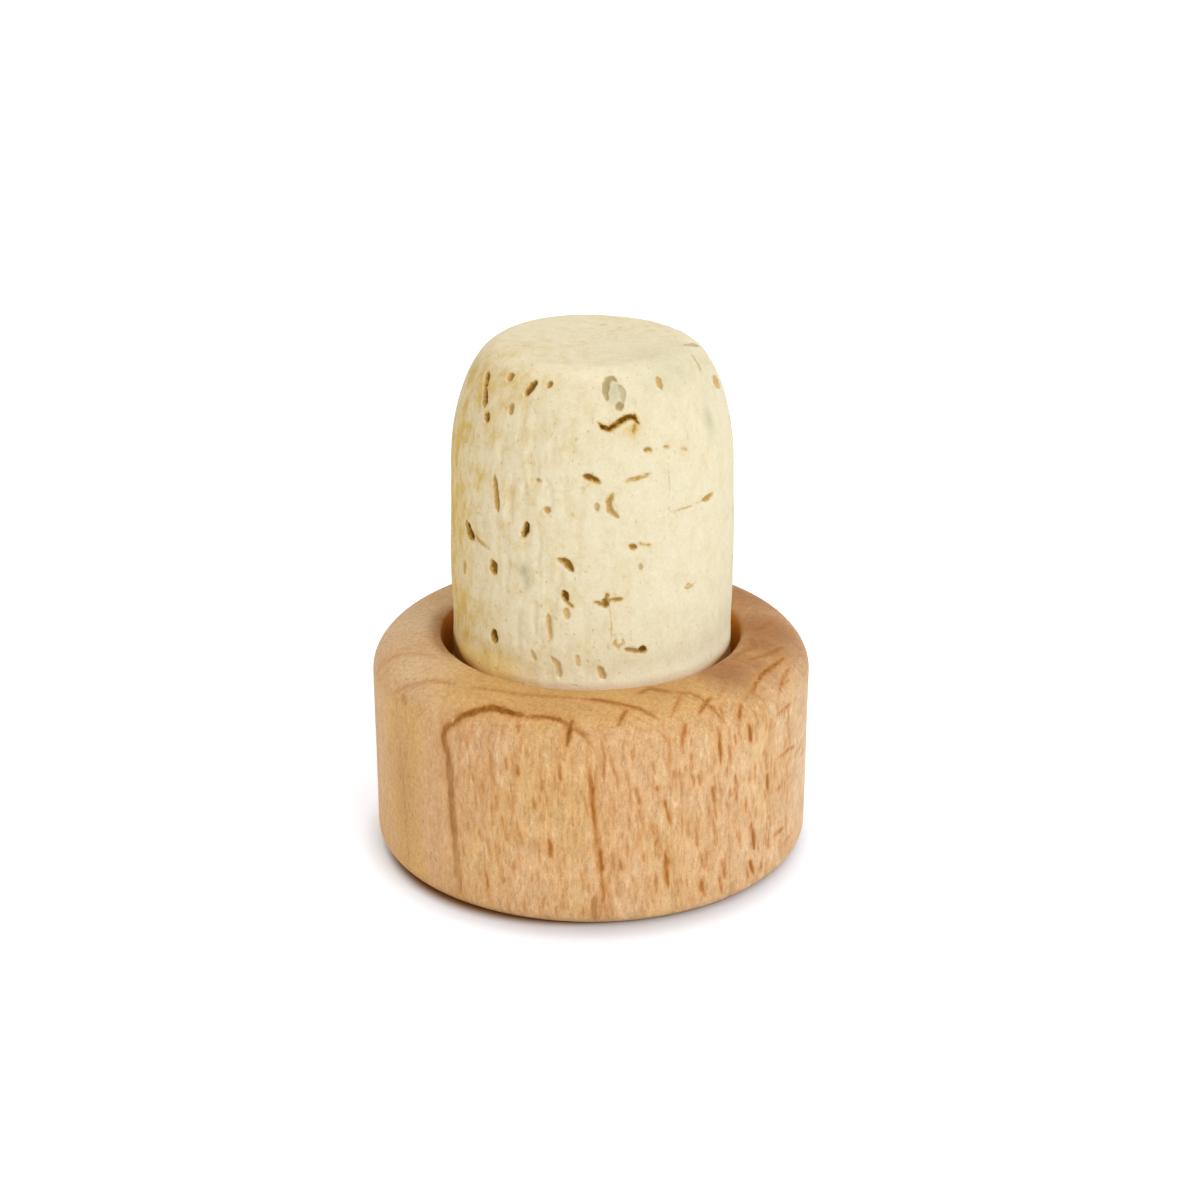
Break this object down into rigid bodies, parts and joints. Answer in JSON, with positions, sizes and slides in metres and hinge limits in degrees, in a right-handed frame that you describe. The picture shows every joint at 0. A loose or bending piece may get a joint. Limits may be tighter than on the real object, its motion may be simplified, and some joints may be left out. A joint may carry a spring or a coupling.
{
  "type": "bottle stopper",
  "caption": "Bottle stopper: a turned beech head with a rounded shoulder, and a round-ended natural cork shank glued into a recess in it.",
  "frame": {"origin": "centre of the head's flat face, on which the stopper stands", "axes": "+Z along the stopper's axis, from the head towards the cork's free end; -Y is the front, the side that the picture shows"},
  "size_m": [0.03, 0.03, 0.0354],
  "materials": {
    "beech": "sanded, unfinished beech",
    "cork": "sanded natural cork with open pores",
    "glue": "dried adhesive, out of sight"
  },
  "bodies": {
    "root": {"wooden_head": "beech", "cork_shank": "cork", "glue_bed": "glue"}
  },
  "joints": []
}
